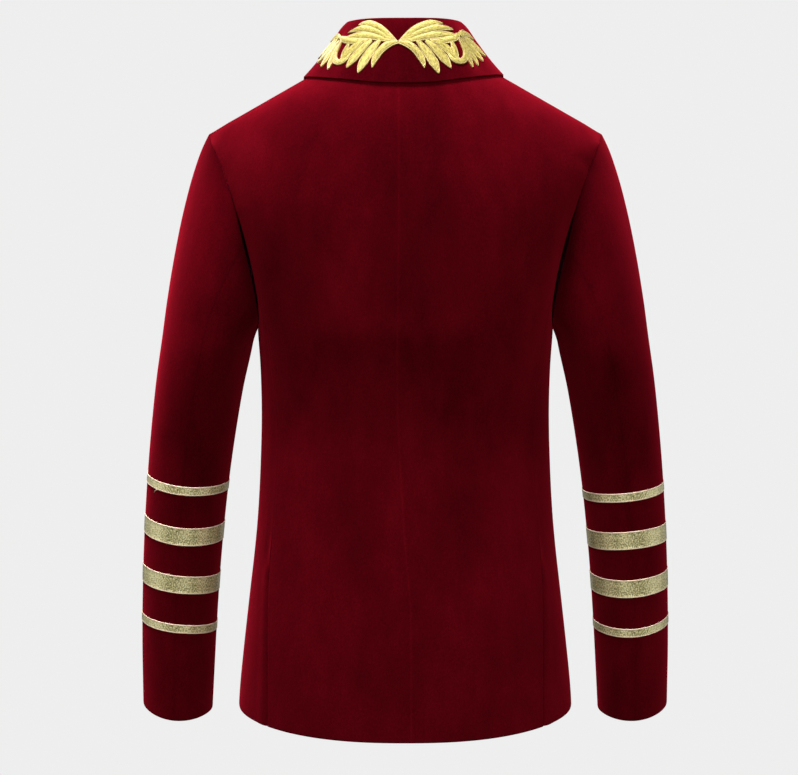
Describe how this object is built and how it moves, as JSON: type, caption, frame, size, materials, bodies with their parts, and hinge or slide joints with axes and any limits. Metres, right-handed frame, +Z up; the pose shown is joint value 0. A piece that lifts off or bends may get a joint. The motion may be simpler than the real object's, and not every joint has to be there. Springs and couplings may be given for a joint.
{
  "type": "velvet tuxedo jacket",
  "caption": "Velvet tuxedo jacket with a leaf-embroidered shawl collar and gold braid round the sleeves, filled out as worn.",
  "frame": {"origin": "middle of the neck opening, level with the neck points of the shoulders, where the wearer holds the jacket up", "axes": "+Z up along the height, +Y towards the jacket's back, +X towards the wearer's left"},
  "size_m": [0.5993, 0.2518, 0.7789],
  "materials": {
    "burgundy_velvet": "cotton velvet, short upright pile",
    "gold_braid": "woven metallic braid",
    "gold_thread": "padded satin-stitch embroidery"
  },
  "bodies": {
    "root": {"back_left": "burgundy_velvet", "side_left": "burgundy_velvet", "front_left": "burgundy_velvet", "collar_left": "burgundy_velvet", "sleeve_under_left": "burgundy_velvet", "sleeve_upper_left": "burgundy_velvet", "back_right": "burgundy_velvet", "side_right": "burgundy_velvet", "front_right": "burgundy_velvet", "collar_right": "burgundy_velvet", "sleeve_under_right": "burgundy_velvet", "sleeve_upper_right": "burgundy_velvet", "button_front": "burgundy_velvet", "band_left_1": "gold_braid", "band_left_2": "gold_braid", "band_left_3": "gold_braid", "band_left_4": "gold_braid", "band_right_1": "gold_braid", "band_right_2": "gold_braid", "band_right_3": "gold_braid", "band_right_4": "gold_braid", "collar_embroidery_left": "gold_thread", "collar_embroidery_right": "gold_thread"}
  },
  "joints": []
}
